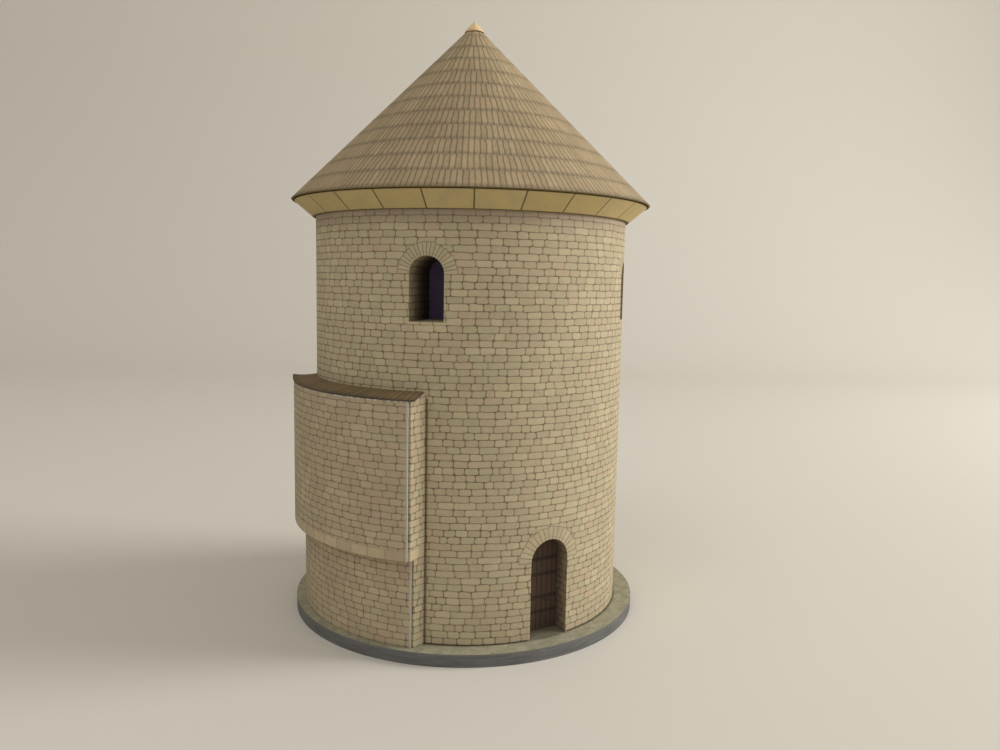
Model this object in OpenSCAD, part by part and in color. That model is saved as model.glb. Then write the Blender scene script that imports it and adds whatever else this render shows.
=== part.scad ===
// Card scale model of a round stone tower: a cylinder of printed card on a round board,
// with a conical shingled roof, a flaring block cornice, arched window and door recesses,
// and a two-tier curved annex on one side.
// Origin: centre of the tower, on the underside of the base board. +Z is up.
// Directions around the tower are in degrees from the front (-Y), positive towards +X.

/* [Card] */
// Thickness of the printed card
card_t = 0.4; // [0.2:0.05:0.8]
// Gap left at glued joints
glue_gap = 0.02; // [0.01:0.01:0.05]

/* [Base] */
// How far the round base board reaches past the wall
base_margin = 3.5; // [2:0.1:8]
// Thickness of the base board
board_t = 1.75; // [1:0.25:4]
// Thickness of the printed ground sheet on the board
ground_t = 0.25; // [0.1:0.05:0.6]
// How far the board is glued off centre, towards +X
base_shift_x = -0.25; // [-1:0.05:1]
// How far the board is glued off centre, towards +Y
base_shift_y = 0.45; // [-1:0.05:1]

/* [Tower wall] */
// Outer radius of the wall
wall_r = 26.5; // [21:0.5:34]
// Height of the wall that shows, from the ground sheet to the cornice
wall_h = 65; // [61:0.5:90]
// How far the wall runs on up inside the cornice
wall_lap = 2; // [0.5:0.1:2.4]
// Direction of the first edge between two bays of the wall
bay_start = 7.5; // [5:0.5:10]

/* [Windows] */
// Half the clear width of a window
window_half = 2.65; // [1.5:0.05:3.5]
// Height of the sill above the ground sheet
sill_h = 48.8; // [39:0.2:51]
// Height of a window's straight sides
window_side = 6.95; // [4:0.05:9]
// Depth of a window recess behind the wall face
window_depth = 10.3; // [3:0.1:13]
// Direction of the front window
window_dir = -14.1; // [-18:0.1:-10]

/* [Door] */
// Half the clear width of the doorway
door_half = 3.35; // [2:0.05:5]
// Height of the doorway's straight sides
door_side = 12.3; // [8:0.1:16]
// Depth of the door recess behind the wall face
door_depth = 3.0; // [2:0.1:8]
// Direction of the door
door_dir = 29.1; // [24:0.1:36]

/* [Cornice] */
// How far the cornice's lower edge stands out from the wall
cornice_foot = 0.45; // [0.1:0.05:1]
// How far the cornice's upper edge stands back from the eaves
cornice_inset = 0.5; // [0.3:0.05:1.5]
// Rise of the cornice from edge to edge
cornice_rise = 2.55; // [2.5:0.05:5]

/* [Roof] */
// How far the eaves reach past the wall
overhang = 4; // [2.5:0.1:7]
// Thickness of the roof's card
roof_card_t = 0.25; // [0.15:0.05:0.6]
// Height of the roof cone
roof_rise = 30.3; // [20:0.1:45]
// Outer radius of the cap glued over the tip
tip_r = 1.7; // [1:0.1:4]

/* [Annex] */
// Direction of the middle of the annex
annex_dir = -48; // [-52:0.5:-44]
// Angle that the annex's front sheets span
annex_span = 62.6; // [40:0.2:70]
// Angle by which each return swings outwards to the wall
return_flare = 2; // [0:0.25:4]
// How far the upper tier stands out from the wall
upper_out = 3.85; // [2.9:0.05:5]
// How far the lower tier stands out from the wall
lower_out = 2.1; // [1:0.05:3]
// Height of the lower tier above the ground sheet
lower_h = 13.9; // [8:0.1:20]
// Height of the upper tier's top edge above the ground sheet
upper_h = 37.6; // [25:0.1:42]
// How far the annex roof reaches past the upper tier
annex_eave = 0.15; // [0:0.05:1]
// Rise of the annex roof from its lip to the wall
annex_rise = 0.75; // [0.2:0.05:4]

/* [Hidden] */
$fn = 180;

base_r = wall_r + base_margin;
roof_r = wall_r + overhang;
upper_r = wall_r + upper_out;
lower_r = wall_r + lower_out;
bays = 8;
bay_angle = 360 / bays;
window_step = 90;
ground_z = board_t + ground_t;
hole_extra = card_t + glue_gap;
window_back = wall_r - window_depth;
door_back = wall_r - door_depth;
cornice_z = ground_z + wall_h;
eave_z = cornice_z + cornice_rise + roof_card_t;
roof_pitch = atan(roof_rise / roof_r);
annex_lip_r = upper_r + annex_eave;
annex_pitch = atan(annex_rise / (annex_lip_r - wall_r));
right_end = annex_dir + annex_span / 2;
left_end = annex_dir - annex_span / 2;
past = 1;

stone = "#b5a48f";
pane_violet = "#1b1428";
door_brown = "#4a3a30";
cream = "#dccba4";
shingle = "#96785c";
annex_shingle = "#4d3527";
board_blue = "#5b6070";
ground_beige = "#a39a80";

// A point in plan, from its direction and its distance from the tower's axis
function plan(dir, r) = [r * sin(dir), -r * cos(dir)];

// Turns children drawn from +X into place at a direction
module at(dir) {
    rotate([0, 0, dir - 90]) children();
}

// Extrudes a flat outline (across, up) outwards between two distances from the axis
module outwards(dir, near, far) {
    rotate([0, 0, dir])
        rotate([90, 0, 0])
            translate([0, 0, near])
                linear_extrude(far - near)
                    children();
}

// Round-headed outline standing on y = 0
module arch(half, side) {
    translate([-half, 0]) square([2 * half, side]);
    translate([0, side]) circle(half);
}

// Outline of the opening that is cut in the wall for a window or the door
module hole_outline(half, side) {
    translate([0, -hole_extra]) arch(half + hole_extra, side + hole_extra);
}

// Everything inside the wall's outer face
module inside_wall_face() {
    cylinder(r = wall_r, h = eave_z);
}

// Upright curved sheet of card, from one direction to another
module curved_sheet(from, to, r, foot, height) {
    at(from)
        rotate_extrude(angle = to - from)
            translate([r - card_t, foot])
                square([card_t, height]);
}

// Cone of card with its rim cut square to the sheet
module card_cone(r, rim_z) {
    run = roof_card_t * sin(roof_pitch);
    drop = roof_card_t * cos(roof_pitch);
    tip_z = rim_z + r * tan(roof_pitch);
    rotate_extrude()
        polygon([
            [r, rim_z],
            [0, tip_z],
            [0, tip_z - roof_card_t / cos(roof_pitch)],
            [r - run, rim_z - drop]
        ]);
}

// --- Base ---

module base_board() {
    color(board_blue)
        translate([base_shift_x, base_shift_y, 0])
            cylinder(r = base_r, h = board_t);
}

module ground_sheet() {
    color(ground_beige)
        translate([base_shift_x, base_shift_y, board_t])
            cylinder(r = base_r, h = ground_t);
}

// --- Tower wall ---

// One bay of the wall, counted from the door bay towards +X
module wall_bay(index) {
    from = bay_start + index * bay_angle;
    curved_sheet(from, from + bay_angle, wall_r, ground_z, wall_h + wall_lap);
}

module window_hole(index) {
    outwards(window_dir + index * window_step, wall_r / 2, wall_r + past)
        translate([0, ground_z + sill_h]) hole_outline(window_half, window_side);
}

module door_hole() {
    outwards(door_dir, wall_r / 2, wall_r + past)
        translate([0, ground_z - past]) arch(door_half + hole_extra, door_side + past);
}

module plain_bay(index) {
    color(stone) wall_bay(index);
}

module window_bay(index, window) {
    color(stone)
        difference() {
            wall_bay(index);
            window_hole(window);
        }
}

module door_bay() {
    color(stone)
        difference() {
            wall_bay(0);
            door_hole();
        }
}

// --- Window recesses ---

// Strip folded round the two sides and the head, trimmed flush with the wall face
module window_reveal(index) {
    color(stone)
        intersection() {
            inside_wall_face();
            outwards(window_dir + index * window_step, window_back, wall_r + past)
                translate([0, ground_z + sill_h])
                    difference() {
                        arch(window_half + card_t, window_side);
                        translate([0, -past]) arch(window_half, window_side + past);
                    }
        }
}

module window_sill(index) {
    color(stone)
        intersection() {
            inside_wall_face();
            outwards(window_dir + index * window_step, window_back, wall_r + past)
                translate([-window_half - card_t, ground_z + sill_h - card_t])
                    square([2 * (window_half + card_t), card_t]);
        }
}

// Flat pane of dark card across the back of the recess
module window_pane(index) {
    color(pane_violet)
        outwards(window_dir + index * window_step, window_back - card_t, window_back)
            translate([0, ground_z + sill_h - card_t])
                arch(window_half + card_t, window_side + card_t);
}

// --- Door recess ---

module door_reveal() {
    color(stone)
        intersection() {
            inside_wall_face();
            outwards(door_dir, door_back, wall_r + past)
                translate([0, ground_z])
                    difference() {
                        arch(door_half + card_t, door_side);
                        translate([0, -past]) arch(door_half, door_side + past);
                    }
        }
}

// Printed door, glued across the back of its recess
module door_leaf() {
    color(door_brown)
        outwards(door_dir, door_back - card_t, door_back)
            translate([0, ground_z])
                arch(door_half + card_t, door_side);
}

// --- Annex ---

// Everything under the annex roof
module under_annex_roof() {
    lip_z = ground_z + upper_h;
    reach = annex_lip_r - wall_r;
    rotate_extrude()
        polygon([
            [wall_r - reach, 0],
            [annex_lip_r, 0],
            [annex_lip_r, lip_z],
            [wall_r - reach, lip_z + 2 * annex_rise]
        ]);
}

// Flat end of a tier, from the wall to the inside of its front sheet.
// side is 1 at the right-hand end and -1 at the left-hand end.
module return_plate(side, r, foot, height) {
    front_dir = annex_dir + side * annex_span / 2;
    wall_dir = front_dir + side * return_flare;
    front_point = plan(front_dir, r - card_t - glue_gap);
    wall_point = plan(wall_dir, wall_r + glue_gap);
    along = front_point - wall_point;
    inwards = side * card_t * [along[1], -along[0]] / norm(along);
    translate([0, 0, foot])
        linear_extrude(height)
            polygon([
                wall_point,
                front_point,
                front_point - inwards,
                wall_point - inwards
            ]);
}

module annex_lower_front() {
    color(stone) curved_sheet(left_end, right_end, lower_r, ground_z, lower_h);
}

module lower_return(side) {
    color(stone) return_plate(side, lower_r, ground_z, lower_h);
}

// Flat strip that closes the step between the two tiers
module annex_soffit() {
    end_gap = 1.5;
    inner = lower_r - card_t;
    outer = upper_r - card_t - glue_gap;
    color(stone)
        at(left_end + end_gap)
            rotate_extrude(angle = annex_span - 2 * end_gap)
                translate([inner, ground_z + lower_h])
                    square([outer - inner, card_t]);
}

module annex_upper_front() {
    color(stone)
        curved_sheet(left_end, right_end, upper_r, ground_z + lower_h, upper_h - lower_h);
}

module upper_return(side) {
    color(stone)
        intersection() {
            return_plate(side, upper_r, ground_z + lower_h, upper_h);
            under_annex_roof();
        }
}

// Narrow curved strip that slopes from the wall down to its lip
module annex_roof() {
    from = left_end - return_flare;
    lift = card_t / cos(annex_pitch);
    lip_z = ground_z + upper_h + glue_gap;
    foot_r = wall_r + glue_gap;
    color(annex_shingle)
        at(from)
            rotate_extrude(angle = annex_span + 2 * return_flare)
                polygon([
                    [annex_lip_r, lip_z],
                    [annex_lip_r, lip_z + lift],
                    [foot_r, lip_z + lift + annex_rise],
                    [foot_r, lip_z + annex_rise]
                ]);
}

// --- Cornice and roof ---

module cornice() {
    top_r = roof_r - cornice_inset;
    color(cream)
        rotate_extrude()
            polygon([
                [wall_r + glue_gap, cornice_z],
                [wall_r + cornice_foot, cornice_z],
                [top_r, cornice_z + cornice_rise],
                [top_r - card_t, cornice_z + cornice_rise]
            ]);
}

module roof_cone() {
    color(shingle) card_cone(roof_r, eave_z);
}

module roof_tip() {
    lift = (roof_card_t + glue_gap) / cos(roof_pitch);
    color(cream) card_cone(tip_r, eave_z + roof_rise + lift - tip_r * tan(roof_pitch));
}

base_board();
ground_sheet();
door_bay();  // wall_door_bay
window_bay(1, 1);  // wall_right_window_bay
plain_bay(2);  // wall_back_right_bay
window_bay(3, 2);  // wall_back_window_bay
plain_bay(4);  // wall_back_left_bay
window_bay(5, 3);  // wall_left_window_bay
plain_bay(6);  // wall_annex_bay
window_bay(7, 0);  // wall_front_window_bay
window_reveal(0);  // front_window_reveal
window_sill(0);  // front_window_sill
window_pane(0);  // front_window_pane
window_reveal(1);  // right_window_reveal
window_sill(1);  // right_window_sill
window_pane(1);  // right_window_pane
window_reveal(2);  // back_window_reveal
window_sill(2);  // back_window_sill
window_pane(2);  // back_window_pane
window_reveal(3);  // left_window_reveal
window_sill(3);  // left_window_sill
window_pane(3);  // left_window_pane
door_reveal();
door_leaf();
annex_lower_front();
lower_return(1);  // annex_lower_right_return
lower_return(-1);  // annex_lower_left_return
annex_soffit();
annex_upper_front();
upper_return(1);  // annex_upper_right_return
upper_return(-1);  // annex_upper_left_return
annex_roof();
cornice();
roof_cone();
roof_tip();
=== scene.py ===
# %% [markdown]
# # A printed-card rotunda
# The object is a small display model: a round tower rolled from printed card, on a round board, with a cone
# of card for its roof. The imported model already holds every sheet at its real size. This lesson gives those
# sheets their printed finish, adds the handmade details that card has, and sets up a plain studio.

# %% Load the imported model
import math

import bmesh
import bpy
import numpy as np
from mathutils import Matrix, Vector


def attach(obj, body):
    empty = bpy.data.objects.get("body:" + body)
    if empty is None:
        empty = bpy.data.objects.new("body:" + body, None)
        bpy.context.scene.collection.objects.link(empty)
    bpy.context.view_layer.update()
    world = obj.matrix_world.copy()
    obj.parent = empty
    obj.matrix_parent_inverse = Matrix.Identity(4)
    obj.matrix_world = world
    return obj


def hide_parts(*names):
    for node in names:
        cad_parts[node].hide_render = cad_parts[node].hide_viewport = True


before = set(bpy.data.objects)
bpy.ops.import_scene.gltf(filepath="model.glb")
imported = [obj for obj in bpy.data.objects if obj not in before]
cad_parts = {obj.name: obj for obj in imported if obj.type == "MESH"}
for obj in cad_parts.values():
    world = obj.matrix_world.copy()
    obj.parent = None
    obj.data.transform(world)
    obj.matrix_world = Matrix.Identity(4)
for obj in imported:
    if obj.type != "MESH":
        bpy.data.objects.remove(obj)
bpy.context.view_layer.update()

MM = 0.001
print("sheets in the model:", len(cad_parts))

# %% [markdown]
# ## Measuring the sheets
# A finish has to line up with the card below it, so every radius, height and direction is read from the
# packed sheets themselves. A direction is an angle round the tower, from the front towards +X.

# %% Read sizes from the sheets
def corners(node):
    """All the points of one sheet, in millimetres."""
    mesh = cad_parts[node].data
    flat = np.empty(len(mesh.vertices) * 3)
    mesh.vertices.foreach_get("co", flat)
    return flat.reshape(-1, 3) / MM


def radii(node):
    points = corners(node)
    reach = np.hypot(points[:, 0], points[:, 1])
    return reach.min(), reach.max()


def heights(node):
    points = corners(node)
    return points[:, 2].min(), points[:, 2].max()


def directions(node):
    points = corners(node)
    turned = np.degrees(np.arctan2(points[:, 0], -points[:, 1]))
    return turned.min(), turned.max()


def half_width(node, direction):
    """Half of how wide a sheet is, seen square on from a direction."""
    turn = math.radians(direction)
    across = corners(node) @ np.array([math.cos(turn), math.sin(turn), 0])
    return (across.max() - across.min()) / 2


ground = heights("ground_sheet")[1]
wall_r = radii("wall_annex_bay")[1]
card = heights("annex_soffit")[1] - heights("annex_soffit")[0]
window_dir = sum(directions("front_window_pane")) / 2
door_dir = sum(directions("door_leaf")) / 2
window_half = half_width("front_window_pane", window_dir) - card
door_half = half_width("door_leaf", door_dir) - card
window_spring = heights("front_window_pane")[1] - window_half - card
door_spring = heights("door_leaf")[1] - door_half - card
eave_r = radii("roof_cone")[1]
roof_tip_z = heights("roof_cone")[1]
eave_z = heights("roof_cone")[0]
cornice_low, cornice_high = heights("cornice")
annex_right = directions("annex_upper_right_return")[1]
annex_top = heights("annex_upper_front")[1]
annex_end = directions("annex_upper_front")[1]
print(f"wall radius {wall_r:.2f} mm, card {card:.2f} mm")
print(f"window at {window_dir:.1f} degrees, half {window_half:.2f} mm, springing {window_spring:.1f} mm")
print(f"door at {door_dir:.1f} degrees, half {door_half:.2f} mm, springing {door_spring:.1f} mm")

# %% [markdown]
# ## Camera
# A small model is looked at from close by, a little above its middle, so the tower narrows slightly
# towards its foot. The distances are given in wall radii, so the view follows the model's size.

# %% Place the camera
VIEW_DISTANCE = 5.481
VIEW_HEIGHT = 2.077
VIEW_TURN = -2.14
VIEW_TILT = -6.58
VIEW_ROLL = -1.08
LENS = 29.55

turn = Matrix.Rotation(math.radians(VIEW_TURN), 3, "Z")
tilt = Matrix.Rotation(math.radians(VIEW_TILT), 3, "X")
roll = Matrix.Rotation(math.radians(VIEW_ROLL), 3, "Y")
upright = Matrix.Rotation(math.radians(90), 3, "X")
camera = bpy.data.objects.new("camera", bpy.data.cameras.new("camera"))
camera.data.lens = LENS
camera.data.sensor_width = 36
camera.data.clip_start = 0.005
facing = (turn @ tilt @ roll @ upright).to_4x4()
place = Vector((0, -VIEW_DISTANCE * wall_r, VIEW_HEIGHT * wall_r + ground)) * MM
camera.matrix_world = Matrix.Translation(place) @ facing
bpy.context.scene.collection.objects.link(camera)
bpy.context.scene.camera = camera
print("camera", [round(v, 4) for v in place])

# %% [markdown]
# ## Shader sums
# A printed pattern is arithmetic on a point's place. Writing that with nodes by hand is slow to read, so one
# small class wraps a socket and lets Python's own operators add the Math nodes. Every other node comes from
# a single method, `node`, that takes the type, the settings and the sockets.

# %% A socket that can be used in sums
class Wire:
    """A socket of a material. Sums, products and comparisons of wires add Math nodes."""

    def __init__(self, tree, socket=None):
        self.tree = tree
        self.socket = socket

    def node(self, kind, settings=None, sockets=None, out=0):
        made = self.tree.nodes.new(kind)
        for name, value in (settings or {}).items():
            setattr(made, name, value)
        for name, value in (sockets or {}).items():
            if isinstance(value, Wire):
                self.tree.links.new(value.socket, made.inputs[name])
            else:
                made.inputs[name].default_value = value
        return Wire(self.tree, made.outputs[out])

    def math(self, operation, *values):
        return self.node("ShaderNodeMath", {"operation": operation}, dict(enumerate(values)))

    def __add__(self, other):
        return self.math("ADD", self, other)

    def __radd__(self, other):
        return self.math("ADD", other, self)

    def __sub__(self, other):
        return self.math("SUBTRACT", self, other)

    def __rsub__(self, other):
        return self.math("SUBTRACT", other, self)

    def __mul__(self, other):
        return self.math("MULTIPLY", self, other)

    def __rmul__(self, other):
        return self.math("MULTIPLY", other, self)

    def __truediv__(self, other):
        return self.math("DIVIDE", self, other)

    def __lt__(self, other):
        return self.math("LESS_THAN", self, other)

    def __gt__(self, other):
        return self.math("GREATER_THAN", self, other)

    def __abs__(self):
        return self.math("ABSOLUTE", self)

    def __mod__(self, other):
        return self.math("FLOORED_MODULO", self, other)

    def floor(self):
        return self.math("FLOOR", self)

    def rounded(self):
        return self.math("ROUND", self)

    def lowest(self, other):
        return self.math("MINIMUM", self, other)

    def highest(self, other):
        return self.math("MAXIMUM", self, other)

    def length(self, other):
        """The long side of a right triangle whose short sides are the two wires."""
        square = self * self + other * other
        return square.math("SQRT", square)

    def ramp(self, start, end):
        """0 before start and 1 after end, with a smooth step between them. start may be the larger."""
        return self.node("ShaderNodeMapRange", {"interpolation_type": "SMOOTHSTEP"},
                         {"Value": self, "From Min": start, "From Max": end})

    def pick(self, no, yes):
        """The value no where this wire is 0 and yes where it is 1."""
        return self.node("ShaderNodeMix", {"data_type": "FLOAT"}, {"Factor": self, "A": no, "B": yes})

    def tint(self, no, yes):
        """The same for two colours, which have sockets 6 and 7 of a Mix node, and output 2."""
        return self.node("ShaderNodeMix", {"data_type": "RGBA"}, {0: self, 6: no, 7: yes}, out=2)


# %% [markdown]
# ## A finish and its point
# Each finish is a Principled shader. The class below holds what a pattern needs: the point in millimetres,
# its direction and distance from the tower's axis, and how squarely the card faces outwards.

# %% The start of every finish
NOISE_ROUGHNESS = 0.55
CARD_TOOTH = 0.35


def srgb(r, g, b):
    """A colour named by its everyday 0 to 255 values, as the linear colour that a shader takes."""
    return tuple(((v / 255 + 0.055) / 1.055) ** 2.4 if v > 10 else v / 255 / 12.92 for v in (r, g, b)) + (1,)


class Finish(Wire):
    """A named material, with the place of the point that is being coloured."""

    def __init__(self, name, roughness=0.85, specular=0.25):
        self.material = bpy.data.materials.new(name)
        self.material.use_nodes = True
        super().__init__(self.material.node_tree)
        self.shader = self.tree.nodes["Principled BSDF"]
        self.shader.inputs["Roughness"].default_value = roughness
        self.shader.inputs["Specular IOR Level"].default_value = specular
        place = self.node("ShaderNodeTexCoord", out="Object")
        self.point = self.node("ShaderNodeVectorMath", {"operation": "SCALE"}, {0: place, "Scale": 1 / MM})
        self.x, self.y, self.z = self.parts(self.point)
        self.reach = self.x.length(self.y)
        self.turn = self.math("ARCTAN2", self.x, self.y * -1)
        normal = self.node("ShaderNodeNewGeometry", out="True Normal")
        nx, ny, nz = self.parts(normal)
        self.outward = (nx * self.x + ny * self.y) / self.reach.highest(0.001)
        self.upward = nz

    def parts(self, vector):
        return [self.node("ShaderNodeSeparateXYZ", None, {0: vector}, out=i) for i in range(3)]

    def spot(self, a, b, c=0.0):
        return self.node("ShaderNodeCombineXYZ", None, {0: a, 1: b, 2: c})

    def chance(self, a, b, seed):
        """A random value for each whole pair a, b."""
        return self.node("ShaderNodeTexWhiteNoise", {"noise_dimensions": "3D"},
                         {"Vector": self.spot(a, b, seed)}, out="Value")

    def cloud(self, size, detail=3.0, where=None):
        """Smooth noise with patches of about that size in millimetres."""
        return self.node("ShaderNodeTexNoise", None,
                         {"Vector": where or self.point, "Scale": 1 / size, "Detail": detail,
                          "Roughness": NOISE_ROUGHNESS}, out="Fac")

    def mottled(self, base, colour, size, start, full, strength, shift=(0, 0, 0), detail=3.0):
        """Patches of a colour over base, where a cloud rises from start to full. shift moves the cloud."""
        where = self.spot(self.x + shift[0], self.y + shift[1], self.z + shift[2])
        patches = self.cloud(size, detail, where).ramp(start, full)
        return (patches * strength).tint(base, colour)

    def relief(self, height, depth):
        """Feeds a height, with its depth in millimetres, to the shader as bump."""
        bump = self.node("ShaderNodeBump", None, {"Height": height, "Distance": depth * MM})
        self.tree.links.new(bump.socket, self.shader.inputs["Normal"])

    def card_grain(self, depth=0.03):
        """The faint tooth of printed card, with its depth in millimetres."""
        self.relief(self.cloud(CARD_TOOTH, 4.0), depth)

    def paint(self, colour):
        self.tree.links.new(colour.socket, self.shader.inputs["Base Color"])


# %% [markdown]
# ## Printed stones
# The stones are ink on flat card, so they are colour and not relief. Each course slides by its own amount
# and each joint moves a little, which keeps the rows from looking like machine-made brick. Rounded corners
# come from the distance to the nearest joints, as for a rounded rectangle.

# %% A course pattern
# The width of an ink line, the radius of a stone's corner and how far a line wanders are in millimetres.
# JITTER is how far an upright joint may move, as a share of a stone's length.
LINE = 0.085
CORNER = 0.36
WOBBLE = 0.38
JITTER = 0.42
STONE_TINTS = [srgb(185, 172, 138), srgb(179, 165, 133), srgb(184, 167, 137), srgb(177, 168, 134),
               srgb(190, 177, 143), srgb(181, 163, 134), srgb(174, 162, 131)]
JOINT_INK = srgb(98, 82, 62)
CARD_CORE = srgb(206, 203, 190)
MOSS = srgb(168, 161, 124)
ROSE = srgb(174, 150, 134)


def stepped(finish, value, colours):
    """One of the colours for each value from 0 to 1."""
    made = finish.node("ShaderNodeValToRGB", None, {0: value})
    ramp = made.socket.node.color_ramp
    ramp.interpolation = "CONSTANT"
    while len(ramp.elements) < len(colours):
        ramp.elements.new(1.0)
    for i, colour in enumerate(colours):
        ramp.elements[i].position = i / len(colours)
        ramp.elements[i].color = colour
    return made


def stones(finish, along, up, course, length, seed):
    """Ink lines (0 to 1) and a random value for each stone of a wall."""
    sway = finish.cloud(2.2, 3.0) - 0.5
    level = (up + sway * WOBBLE) / course
    row = level.floor()
    width = length * (0.8 + 0.45 * finish.chance(row, 1.0, seed))
    slide = finish.chance(row, 2.0, seed) * 17
    lean = finish.cloud(0.9, 1.0) - 0.5
    step = (along + lean * WOBBLE) / width + slide
    cell = step.floor()
    early = (step - cell) < finish.chance(cell, row, seed + 3) * JITTER
    cell = cell - early
    left = finish.chance(cell, row, seed + 3) * JITTER + cell
    right = finish.chance(cell + 1, row, seed + 3) * JITTER + cell + 1
    side = (step - left).lowest(right - step) * width
    rise = level - row
    edge = rise.lowest(1 - rise) * course
    inner = CORNER - (CORNER - side).highest(0).length((CORNER - edge).highest(0))
    pressure = 0.35 + 1.0 * finish.cloud(1.7, 2.0)
    line = inner.ramp(LINE * 1.25, LINE * 0.25) * pressure
    return line.lowest(1), finish.chance(cell, row, seed + 5)


def printed(finish, line, luck, tints=STONE_TINTS, depth=0.84):
    """The printed colour of a stone surface, from its lines and its random values."""
    base = stepped(finish, luck, tints)
    base = finish.mottled(base, srgb(193, 176, 147), 0.75, 0.35, 0.68, 0.4, detail=4.0)
    base = finish.mottled(base, MOSS, 1.1, 0.5, 0.72, 0.25, shift=(40, 0, 0))
    base = finish.mottled(base, ROSE, 1.2, 0.54, 0.74, 0.4, shift=(0, 60, 0))
    base = finish.mottled(base, srgb(164, 148, 118), 9.0, 0.3, 0.7, 0.22)
    return (line * depth).tint(base, JOINT_INK)


# %% [markdown]
# ## Stones round an arch
# The round head of each opening is printed with a ring of narrow wedge stones. Their joints point at the
# centre of the arch, so the ring is drawn in polar terms: a distance from that centre and an angle round it.

# %% A ring of wedge stones
def arch_ring(finish, across, up, half, depth, count, seed):
    """Where the ring lies (0 or 1), its lines and its random values."""
    reach = across.length(up)
    angle = finish.math("ARCTAN2", up, across) * (count / math.pi)
    wedge = angle.floor()
    part = angle - wedge
    joint = part.lowest(1 - part) * (math.pi / count) * reach
    outer = half + depth * (0.94 + 0.12 * finish.chance(wedge, 0.0, seed))
    rim = abs(reach - outer)
    line = joint.lowest(rim).ramp(LINE * 1.1, LINE * 0.25)
    inside = (reach < outer + LINE * 0.5) * (up > -0.05)
    return inside, line * 0.85, finish.chance(wedge, 4.0, seed)


RING = 1.95
WINDOW_WEDGES = 20
DOOR_WEDGES = 17
WINDOW_STEP = math.pi / 2


def near_window(finish):
    """Distance along the wall from the middle of the nearest of the four windows, as an angle."""
    offset = finish.turn - math.radians(window_dir) + WINDOW_STEP / 2
    return offset % WINDOW_STEP - WINDOW_STEP / 2


def cut_edges(finish, colour, flat):
    """Bare card wherever a face is not one of the sheet's two broad sides."""
    fibres = finish.cloud(0.25, 3.0)
    core = fibres.tint(CARD_CORE, srgb(180, 172, 150))
    return (flat < 0.6).tint(colour, core)


# %% Wall finish
COURSE = 1.05
STONE = 2.15


def wall_print_on(finish):
    """The wall's stones with the rings round its arches. The rims of the recesses carry it on."""
    line, luck = stones(finish, finish.turn * wall_r, finish.z, COURSE, STONE, 11)
    base = printed(finish, line, luck)
    arc = near_window(finish) * wall_r
    rings = [(arc, finish.z - window_spring, window_half, RING, WINDOW_WEDGES, 21),
             ((finish.turn - math.radians(door_dir)) * wall_r, finish.z - door_spring,
              door_half, RING + 0.1, DOOR_WEDGES, 31)]
    for across, up, half, depth, count, seed in rings:
        inside, ring_line, ring_luck = arch_ring(finish, across, up, half, depth, count, seed)
        base = inside.tint(base, printed(finish, ring_line, ring_luck))
    return base


def wall_finish():
    finish = Finish("printed_wall")
    base = wall_print_on(finish)
    shadow = (cornice_low - finish.z).ramp(3.2, 0.2)
    base = (shadow * 0.4).tint(base, srgb(134, 112, 106))
    # Painted shade: a dark strip on the wall just right of the annex's right return, where the return stands
    # off the wall.
    beside = (finish.turn - math.radians(annex_right)) * wall_r
    gap = beside.ramp(0.55, 0.1) * (beside > 0) * (finish.z < annex_top)
    base = (gap * 0.75).tint(base, srgb(52, 42, 32))
    # Painted shade: the wall darkens along its foot, where it meets the ground sheet.
    base = (finish.z - ground).ramp(0.3, 0.05).tint(base, srgb(70, 60, 44))
    finish.paint(cut_edges(finish, base, abs(finish.outward)))
    finish.card_grain()
    return finish.material


wall_print = wall_finish()
print("made", wall_print.name)

# %% [markdown]
# ## Recesses
# The window and door recesses are deep strips of card folded round the opening, printed with the same
# stones, and painted shade darkens them towards the back: brownish at the mouth, near black deep inside.
# Depth runs along one axis of the pattern, and the other runs up the side and then round the head. The front
# rim of each strip shows flush with the wall, so it carries on the wall's own print, and no seam shows there.

# %% Recess finishes
def recess_finish(name, offset, half, spring, seed, mouth, back, depth):
    finish = Finish(name)
    turn = offset(finish)
    across = abs(finish.reach * finish.math("SINE", turn))
    out = finish.reach * finish.math("COSINE", turn)
    over = finish.z - spring
    head = spring + finish.math("ARCTAN2", over, across) * half
    up = (over > 0).pick(finish.z, head)
    line, luck = stones(finish, out, up, COURSE, STONE * 0.9, seed)
    base = printed(finish, line, luck)
    # Painted shade: the recess darkens from its mouth towards the back, where little light reaches. mouth and
    # back are the share of the print that stays unshaded there.
    inwards = (wall_r * 0.995 - out).ramp(0.0, depth)
    shade = mouth + (back - mouth) * inwards
    recess_shade_colour = inwards.tint(srgb(84, 58, 26), srgb(24, 18, 22))
    base = (1 - shade).tint(base, recess_shade_colour)
    rim = (finish.reach > wall_r - 0.03) * (abs(finish.outward) > 0.6)
    finish.paint(rim.tint(base, wall_print_on(finish)))
    finish.card_grain()
    return finish.material


def door_offset(finish):
    return finish.turn - math.radians(door_dir)


window_recess = recess_finish("printed_and_shaded_window_recess", near_window, window_half, window_spring, 41,
                              mouth=0.8, back=0.22, depth=8.0)
door_recess = recess_finish("printed_and_shaded_door_recess", door_offset, door_half, door_spring, 51,
                            mouth=0.55, back=0.3, depth=3.0)


def sill_finish():
    finish = Finish("printed_sill")
    turn = near_window(finish)
    across = finish.reach * finish.math("SINE", turn)
    out = finish.reach * finish.math("COSINE", turn)
    line, luck = stones(finish, across, out, 1.5, STONE, 61)
    finish.paint(printed(finish, line, luck))
    return finish.material


sill_print = sill_finish()


def pane_finish():
    finish = Finish("dark_pane", roughness=0.45, specular=0.4)
    smear = finish.cloud(2.5, 3.0)
    finish.paint(smear.tint(srgb(98, 78, 126), srgb(126, 104, 146)))
    return finish.material


pane_print = pane_finish()
print("made recess, sill and pane finishes")

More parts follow.
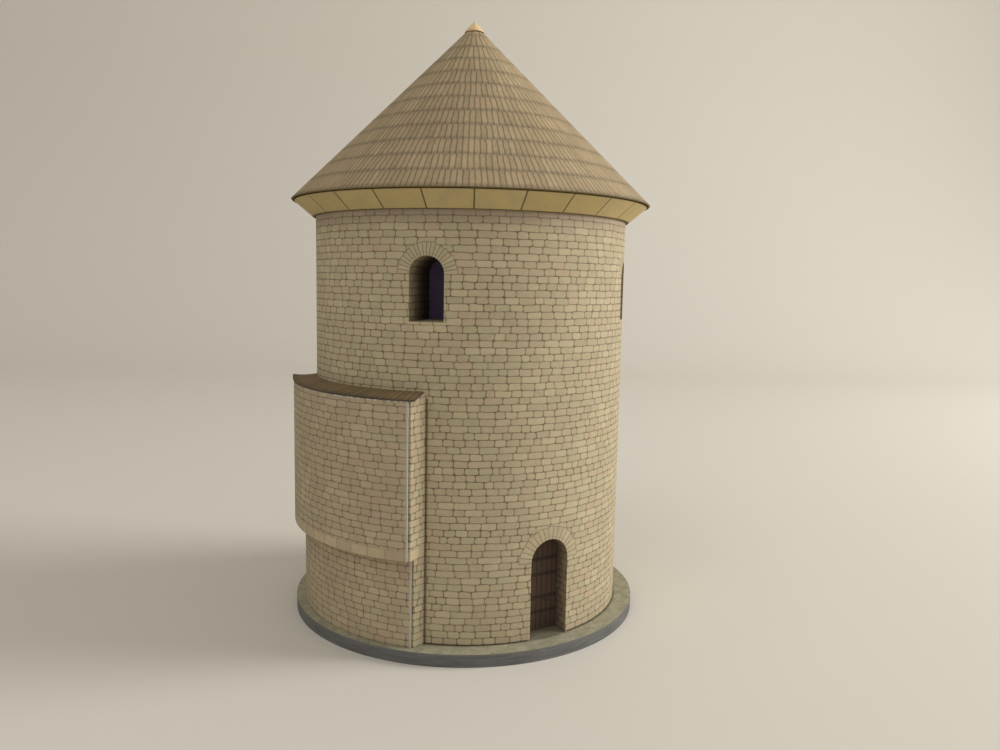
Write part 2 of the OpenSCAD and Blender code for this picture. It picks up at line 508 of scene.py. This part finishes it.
# %% [markdown]
# ## The door
# The door is printed too: upright boards, iron straps across them and a small ring to pull. Each strap could
# be a thin solid of its own, but on the real model they are ink. So all of it is colour, placed by the
# distance from the door's middle and the height over the ground.

# %% Door finish
BOARD = 0.95
STRAP_HEIGHTS = (3.0, 5.4, 9.1, 11.6)
STRAP = 0.28
RING_ACROSS = 1.5
RING_UP = 5.0
RING_R = 0.48


def door_finish():
    finish = Finish("printed_door", roughness=0.7)
    across = finish.reach * finish.math("SINE", door_offset(finish))
    up = finish.z - ground
    level = across / BOARD + 0.5
    board = level.floor()
    gap = ((level - board).lowest(1 - (level - board)) * BOARD).ramp(0.09, 0.03)
    grain = finish.cloud(0.5, 4.0, finish.spot(across * 3, board * 5, up * 0.35))
    wood = grain.tint(srgb(66, 50, 46), srgb(102, 80, 68))
    wood = (finish.chance(board, 1.0, 71) * 0.5).tint(wood, srgb(88, 74, 56))
    wood = (gap * 0.8).tint(wood, srgb(34, 26, 22))
    iron = None
    for height in STRAP_HEIGHTS:
        band = abs(up - height).ramp(STRAP + 0.06, STRAP - 0.06)
        iron = band if iron is None else iron.highest(band)
    pull = abs((across - RING_ACROSS).length(up - RING_UP) - RING_R).ramp(0.14, 0.06)
    finish.paint((iron.highest(pull) * 0.6).tint(wood, srgb(44, 34, 34)))
    return finish.material


door_print = door_finish()
print("made", door_print.name)

# %% [markdown]
# ## The annex
# The annex has the same small stones, and its upper tier ends in one course of paler, larger blocks. Its
# curved fronts take the pattern round the tower, and its flat ends take it outwards from the wall. One
# function makes both finishes, so their courses meet at the corner. The fronts also get worn card: a scuffed
# strip down their right end and white chips along the top.

# %% Annex finishes
step_z = heights("annex_soffit")[0]
PALE_COURSE = 1.6
PALE_BLOCK = 3.1
PALE_TINTS = [srgb(194, 178, 142), srgb(187, 170, 137), srgb(200, 183, 145), srgb(183, 168, 136)]


def annex_finish(name, is_front, seed):
    finish = Finish(name)
    along = finish.turn * radii("annex_upper_front")[1] if is_front else finish.reach
    length = STONE if is_front else STONE * 0.85
    line, luck = stones(finish, along, finish.z, COURSE, length, seed)
    base = printed(finish, line, luck)
    up = (finish.z - step_z) / PALE_COURSE
    block = (along / PALE_BLOCK).floor()
    part = along / PALE_BLOCK - block
    edge = (part.lowest(1 - part) * PALE_BLOCK).lowest(up.lowest(1 - up) * PALE_COURSE)
    pale = printed(finish, edge.ramp(LINE, LINE * 0.3), finish.chance(block, 1.0, seed + 7), tints=PALE_TINTS,
                   depth=0.55)
    in_course = (up > 0) * (up < 1)
    base = in_course.tint(base, pale)
    if is_front:
        # Painted shade: a cloudy purplish darkening over the curved fronts, so they read darker than their
        # lit ends.
        base = finish.cloud(6.0, 3.0).ramp(0.2, 0.8).pick(0.12, 0.30).tint(base, srgb(140, 112, 98))
        before_end = (math.radians(annex_end) - finish.turn) * finish.reach
        scuff = before_end.ramp(0.34, 0.22) + (finish.cloud(0.7, 4.0) - 0.5) * 1.5
        base = (scuff.ramp(0.3, 0.6) * 0.8).tint(base, srgb(176, 174, 168))
        chips = (annex_top - finish.z).ramp(0.22, 0.12) * finish.cloud(0.6, 3.0).ramp(0.50, 0.56)
        base = chips.tint(base, srgb(214, 212, 206))
        base = cut_edges(finish, base, abs(finish.outward))
    finish.paint(base)
    finish.card_grain()
    return finish.material


annex_front_print = annex_finish("printed_annex_front", True, 81)
annex_end_print = annex_finish("printed_annex_end", False, 91)
print("made annex finishes")

# %% [markdown]
# ## Shingles
# Narrow shingles are printed in twelve courses down the cone. They could be modelled one by one, but the real
# sheet is smooth, so they are colour. All are about the same width, so a course has more of them the nearer
# it is to the eaves. Each shingle is pale along its length and shaded at its butt,
# and the butts are not quite level.

# %% Roof finish
COURSES = 12
SHINGLE = 0.86
pitch = math.atan2(roof_tip_z - eave_z, eave_r)
slope = eave_r / math.cos(pitch)
shingle_course = slope / COURSES
SHINGLE_TINTS = [srgb(172, 151, 117), srgb(166, 145, 113), srgb(173, 149, 118), srgb(168, 150, 115),
                 srgb(160, 141, 110), srgb(178, 157, 122)]


def shingle_finish():
    finish = Finish("printed_shingles")
    down = finish.reach / math.cos(pitch) + (finish.cloud(2.4, 2.0) - 0.5) * 0.2
    row = (down / shingle_course).floor()
    middle = (row + 0.5) * shingle_course * math.cos(pitch)
    count = (middle * (2 * math.pi / SHINGLE)).rounded()
    step = (finish.turn / (2 * math.pi) + 0.5) * count
    step = step + (finish.chance(row, 3.0, 5) + (finish.cloud(1.1, 1.0) - 0.5) * 0.35)
    cell = step.floor()
    part = step - cell
    wide = 2 * math.pi * finish.reach / count
    side = part.lowest(1 - part) * wide
    fall = down / shingle_course - row + (finish.chance(cell, row, 7) - 0.5) * 0.07
    seam = side.ramp(0.17, 0.03)
    butt = fall.ramp(0.72, 0.95)
    head = fall.ramp(0.22, 0.0)
    base = stepped(finish, finish.chance(cell, row, 9), SHINGLE_TINTS)
    base = finish.mottled(base, srgb(188, 168, 132), 0.8, 0.35, 0.7, 0.35, detail=4.0)
    base = finish.mottled(base, srgb(150, 128, 96), 7.0, 0.35, 0.68, 0.3)
    base = (head * 0.22).tint(base, srgb(120, 104, 84))
    base = (butt * 0.5).tint(base, srgb(104, 94, 76))
    base = (seam * 0.62).tint(base, srgb(90, 74, 52))
    on_top = finish.upward > 0.3
    under = finish.cloud(0.6, 3.0).tint(srgb(126, 112, 76), srgb(104, 90, 60))
    finish.paint(on_top.tint(under, base))
    finish.card_grain()
    return finish.material


shingle_print = shingle_finish()


def annex_shingle_finish():
    finish = Finish("printed_annex_shingles")
    along = finish.turn * wall_r
    cell = (along / SHINGLE).floor()
    part = along / SHINGLE - cell
    seam = (part.lowest(1 - part) * SHINGLE).ramp(0.2, 0.05)
    out = finish.reach - wall_r
    base = finish.chance(cell, 1.0, 13).tint(srgb(124, 104, 72), srgb(142, 122, 86))
    base = (finish.cloud(0.8, 4.0) * 0.5).tint(base, srgb(92, 76, 54))
    base = (seam * 0.55).tint(base, srgb(66, 52, 38))
    base = (out.ramp(2.9, 3.6) * 0.3).tint(base, srgb(58, 48, 38))
    base = (finish.upward < 0.6).tint(base, srgb(84, 74, 60))
    finish.paint(base)
    return finish.material


annex_shingle_print = annex_shingle_finish()
print(f"roof: {COURSES} courses of {shingle_course:.2f} mm")

# %% [markdown]
# ## Cornice, tip, board and ground
# The cornice is a flaring ring printed with large cream blocks. The tip is a scrap of cream card. The board's
# edge was painted grey by hand, and the ground sheet has a greenish, mottled print.

# %% Cornice, tip, board and ground finishes
CORNICE_BLOCKS = 25
BLOCK_TURN = 0.6


def cornice_finish():
    finish = Finish("printed_cornice")
    step = (finish.turn - math.radians(BLOCK_TURN)) * (CORNICE_BLOCKS / (2 * math.pi))
    cell = step.floor()
    part = step - cell
    side = part.lowest(1 - part) * (2 * math.pi / CORNICE_BLOCKS) * finish.reach
    low = finish.z - cornice_low
    high = cornice_high - finish.z
    line = side.ramp(0.17, 0.06).highest(low.ramp(0.16, 0.02)).highest(high.ramp(0.12, 0.02) * 0.7)
    base = finish.chance(cell, 1.0, 15).tint(srgb(186, 165, 112), srgb(194, 174, 124))
    base = finish.mottled(base, srgb(176, 158, 118), 2.2, 0.4, 0.65, 0.5)
    base = finish.mottled(base, srgb(190, 162, 104), 1.6, 0.5, 0.72, 0.3, shift=(0, 30, 0))
    finish.paint((line * 0.85).tint(base, srgb(70, 60, 34)))
    finish.card_grain(0.02)
    return finish.material


def tip_finish():
    finish = Finish("cream_card")
    fold = finish.cloud(0.7, 3.0)
    finish.paint(fold.ramp(0.35, 0.65).tint(srgb(214, 184, 132), srgb(228, 202, 152)))
    finish.relief(fold, 0.08)
    return finish.material


def board_finish():
    finish = Finish("painted_board", roughness=0.6, specular=0.35)
    stroke = finish.cloud(1.0, 4.0, finish.spot(finish.turn * 6, finish.z * 3, finish.reach * 0.3))
    base = stroke.ramp(0.3, 0.7).tint(srgb(90, 89, 87), srgb(108, 107, 104))
    finish.paint(finish.mottled(base, srgb(136, 134, 122), 2.0, 0.62, 0.75, 0.4, detail=4.0))
    finish.relief(stroke, 0.05)
    return finish.material


def ground_finish():
    finish = Finish("printed_ground")
    base = finish.cloud(1.4, 5.0).ramp(0.3, 0.7).tint(srgb(142, 138, 114), srgb(166, 159, 134))
    base = finish.mottled(base, srgb(120, 120, 92), 0.45, 0.52, 0.68, 0.4)
    # Painted shade: a dark ring on the ground sheet round the tower's foot.
    foot = finish.reach.ramp(wall_r + 0.5, wall_r + 0.05)
    base = (foot * 0.6).tint(base, srgb(74, 68, 50))
    edge = finish.upward < 0.5
    finish.paint(edge.tint(base, srgb(112, 112, 104)))
    finish.relief(finish.cloud(0.4, 4.0), 0.03)
    return finish.material


cornice_print = cornice_finish()
tip_card = tip_finish()
board_paint = board_finish()
ground_print = ground_finish()
print("made cornice, tip, board and ground finishes")

# %% [markdown]
# ## Sheets with a handmade shape
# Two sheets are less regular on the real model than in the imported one. The annex roof is a free strip, so
# its left corner has curled up and its lip waves a little. The tip is a scrap of card pressed over the
# point, so its sides are dented. Each is made again here as a closed skin between two grids of points, in
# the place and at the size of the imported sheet.

# %% A closed skin of card
def card_skin(name, top, bottom, wraps, finish, replaced):
    """A sheet between two grids of points in millimetres. wraps joins the last column to the first."""
    rows, columns = top.shape[:2]
    points = np.concatenate([top.reshape(-1, 3), bottom.reshape(-1, 3)]) * MM
    under = rows * columns
    faces = []
    for j in range(columns if wraps else columns - 1):
        for i in range(rows - 1):
            a, b = i * columns + j, i * columns + (j + 1) % columns
            faces.append((a, b, b + columns, a + columns))
            faces.append((under + a + columns, under + b + columns, under + b, under + a))
        for i in (0, rows - 1):
            a, b = i * columns + j, i * columns + (j + 1) % columns
            faces.append((a, b, under + b, under + a))
    if not wraps:
        for j in (0, columns - 1):
            for i in range(rows - 1):
                a = i * columns + j
                faces.append((a, a + columns, under + a + columns, under + a))
    mesh = bpy.data.meshes.new(name)
    mesh.from_pydata(points.tolist(), [], faces)
    shape = bmesh.new()
    shape.from_mesh(mesh)
    bmesh.ops.remove_doubles(shape, verts=shape.verts, dist=0.001 * MM)
    bmesh.ops.recalc_face_normals(shape, faces=shape.faces)
    shape.to_mesh(mesh)
    shape.free()
    mesh.polygons.foreach_set("use_smooth", [True] * len(mesh.polygons))
    mesh.set_sharp_from_angle(angle=math.radians(40))
    mesh.materials.append(finish)
    piece = bpy.data.objects.new(name, mesh)
    bpy.context.scene.collection.objects.link(piece)
    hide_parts(replaced)
    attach(piece, "root")
    print(f"{name}: {len(mesh.polygons)} faces")


# %% The annex roof, with its curled corner
CURL = 0.55
CURL_SPAN = 16.0
WAVE = 0.07
STRIP = 0.6


def annex_roof_grid(lift):
    """The strip's top, or its underside where lift is 0."""
    inner, outer = radii("annex_roof")
    left, right = directions("annex_roof")
    low, high = heights("annex_roof")
    thick = card / math.cos(math.atan2(high - low - card, outer - inner))
    turn = np.radians(np.linspace(left, right, 73))[None, :]
    out = np.linspace(0, 1, 7)[:, None]
    reach = inner + (outer - inner) * out
    curled = np.clip((math.radians(left + CURL_SPAN) - turn) / math.radians(CURL_SPAN), 0, 1)
    waves = 1 + 0.6 * np.sin(turn * 9 + 1) + 0.4 * np.sin(turn * 23)
    up = high - thick - (high - low - thick) * out + (CURL * curled ** 2 + WAVE * waves) * out ** 2
    grid = np.broadcast_arrays(reach * np.sin(turn), -reach * np.cos(turn), up + lift * thick * STRIP)
    return np.stack(grid, axis=-1)


card_skin("curled_annex_roof", annex_roof_grid(1), annex_roof_grid(0), False,
          annex_shingle_print, "annex_roof")

# %% The dented tip
DENT = 0.11


def tip_grid(lift):
    """The cap's outside, or its inside where lift is 0."""
    tip_low, tip_high = heights("roof_tip")
    foot_r = radii("roof_tip")[1]
    thick = (tip_high - tip_low) - foot_r * math.tan(pitch)
    turn = np.linspace(0, 2 * math.pi, 48, endpoint=False)[None, :]
    down = np.linspace(0.02, 1, 9)[:, None]
    dents = (np.sin(turn * 3 + 0.4) + 0.7 * np.sin(turn * 5 + down * 4 + 2) + 0.5 * np.sin(turn * 8)) / 2.2
    reach = foot_r * down * (1 + 0.03 * np.sin(turn * 2 + 1))
    up = tip_high - thick - foot_r * down * math.tan(pitch) + DENT * (dents + 1) * down * (1 - down) * 2
    grid = np.broadcast_arrays(reach * np.sin(turn), -reach * np.cos(turn), up + lift * thick)
    return np.stack(grid, axis=-1)


card_skin("dented_roof_tip", tip_grid(1), tip_grid(0), True, tip_card, "roof_tip")

# %% [markdown]
# ## Giving the sheets their finishes
# A packed sheet whose shape is right stays as it is, and only its material slot changes.

# %% Finish by sheet name
def finish_of(name):
    """The finish that suits a sheet, from the words of its name."""
    if name.startswith("wall_"):
        return wall_print
    if name.endswith("window_reveal"):
        return window_recess
    if name.endswith("window_sill"):
        return sill_print
    if name.endswith("window_pane"):
        return pane_print
    if name.endswith("return") or name == "annex_soffit":
        return annex_end_print
    named = {"base_board": board_paint, "ground_sheet": ground_print, "door_reveal": door_recess,
             "door_leaf": door_print, "annex_lower_front": annex_front_print,
             "annex_upper_front": annex_front_print, "annex_roof": annex_shingle_print,
             "cornice": cornice_print, "roof_cone": shingle_print, "roof_tip": tip_card}
    return named[name]


for name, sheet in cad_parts.items():
    sheet.data.materials.clear()
    sheet.data.materials.append(finish_of(name))
print("finished", len(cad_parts), "sheets")

# %% [markdown]
# ## Studio
# A pale sweep of paper runs under the model and up behind it, so there is no hard horizon. One large soft
# lamp stands at the right, as a window would, and an even sky fills the shadows.

# %% Sweep and lamps
SWEEP_COLOUR = srgb(214, 208, 196)
SWEEP_HALF = 3.0
SWEEP_FRONT = -2.0
SWEEP_BACK = 0.35
SWEEP_BEND = 0.25
SWEEP_TOP = 1.6
SWEEP_STEPS = 24
SKY_STRENGTH = 0.55


def studio_sweep():
    profile = [(SWEEP_FRONT, 0.0), (SWEEP_BACK, 0.0)]
    for i in range(1, SWEEP_STEPS + 1):
        a = math.pi / 2 * i / SWEEP_STEPS
        profile.append((SWEEP_BACK + SWEEP_BEND * math.sin(a), SWEEP_BEND * (1 - math.cos(a))))
    profile.append((SWEEP_BACK + SWEEP_BEND, SWEEP_TOP))
    points = [(side * SWEEP_HALF, y, z) for side in (-1, 1) for y, z in profile]
    count = len(profile)
    faces = [(i, i + 1, count + i + 1, count + i) for i in range(count - 1)]
    mesh = bpy.data.meshes.new("sweep")
    mesh.from_pydata(points, [], faces)
    mesh.polygons.foreach_set("use_smooth", [True] * len(faces))
    sweep = bpy.data.objects.new("sweep", mesh)
    bpy.context.scene.collection.objects.link(sweep)
    material = bpy.data.materials.new("sweep_paper")
    material.use_nodes = True
    shader = material.node_tree.nodes["Principled BSDF"]
    shader.inputs["Base Color"].default_value = SWEEP_COLOUR
    shader.inputs["Roughness"].default_value = 0.9
    shader.inputs["Specular IOR Level"].default_value = 0.1
    mesh.materials.append(material)


def lamp(name, place, target, size, power):
    data = bpy.data.lights.new(name, "AREA")
    data.shape = "DISK"
    data.size = size
    data.energy = power
    made = bpy.data.objects.new(name, data)
    made.location = place
    aim = Vector(target) - Vector(place)
    made.rotation_euler = aim.to_track_quat("-Z", "Y").to_euler()
    bpy.context.scene.collection.objects.link(made)


studio_sweep()
middle = (0, 0, 0.05)
lamp("window_light", (0.64, 0.02, 0.30), middle, 0.34, 3.9)
lamp("fill_light", (-0.25, -0.50, 0.75), middle, 0.50, 0.9)
world = bpy.data.worlds.new("sky")
world.use_nodes = True
world.node_tree.nodes["Background"].inputs["Color"].default_value = (1.0, 0.985, 0.96, 1)
world.node_tree.nodes["Background"].inputs["Strength"].default_value = SKY_STRENGTH
bpy.context.scene.world = world
bpy.context.scene.view_settings.view_transform = "Standard"
print("studio ready")
